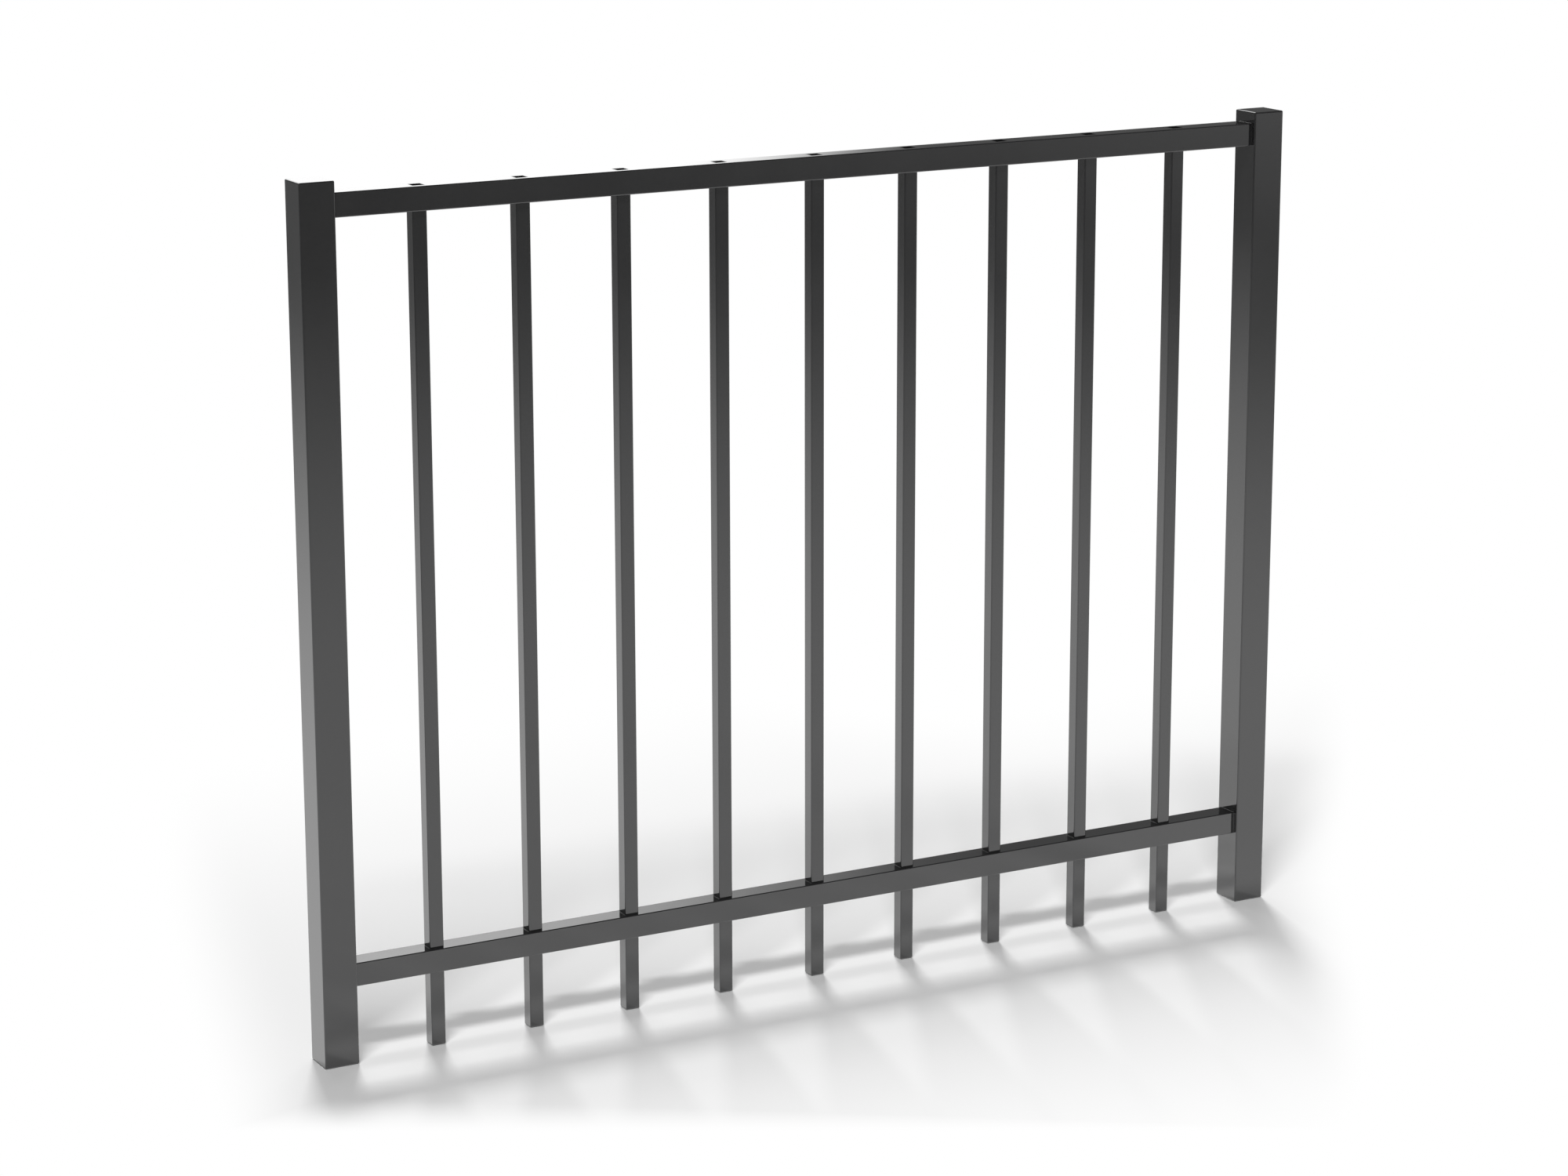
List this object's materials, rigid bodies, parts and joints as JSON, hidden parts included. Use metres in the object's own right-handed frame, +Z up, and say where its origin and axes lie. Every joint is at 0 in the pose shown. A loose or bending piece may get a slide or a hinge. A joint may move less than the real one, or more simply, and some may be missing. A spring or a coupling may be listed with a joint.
{
  "type": "metal fence panel",
  "caption": "Straight fence panel of square tube: end posts, two level rails and evenly spaced pickets that run through the rails to the ground.",
  "frame": {"origin": "middle of the left post's foot, on the ground", "axes": "+X along the fence to the right post, +Y to the back, +Z up"},
  "size_m": [1.86, 0.06, 1.455],
  "materials": {
    "powder_coat": "glossy black powder coat on steel",
    "cap_plastic": "black moulded plastic"
  },
  "bodies": {
    "root": {"left_post": "powder_coat", "right_post": "powder_coat", "top_rail": "powder_coat", "bottom_rail": "powder_coat", "picket_1": "powder_coat", "picket_2": "powder_coat", "picket_3": "powder_coat", "picket_4": "powder_coat", "picket_5": "powder_coat", "picket_6": "powder_coat", "picket_7": "powder_coat", "picket_8": "powder_coat", "picket_9": "powder_coat", "left_post_cap": "cap_plastic", "right_post_cap": "cap_plastic", "left_post_foot": "cap_plastic", "right_post_foot": "cap_plastic", "picket_foot_1": "cap_plastic", "picket_foot_2": "cap_plastic", "picket_foot_3": "cap_plastic", "picket_foot_4": "cap_plastic", "picket_foot_5": "cap_plastic", "picket_foot_6": "cap_plastic", "picket_foot_7": "cap_plastic", "picket_foot_8": "cap_plastic", "picket_foot_9": "cap_plastic"}
  },
  "joints": []
}
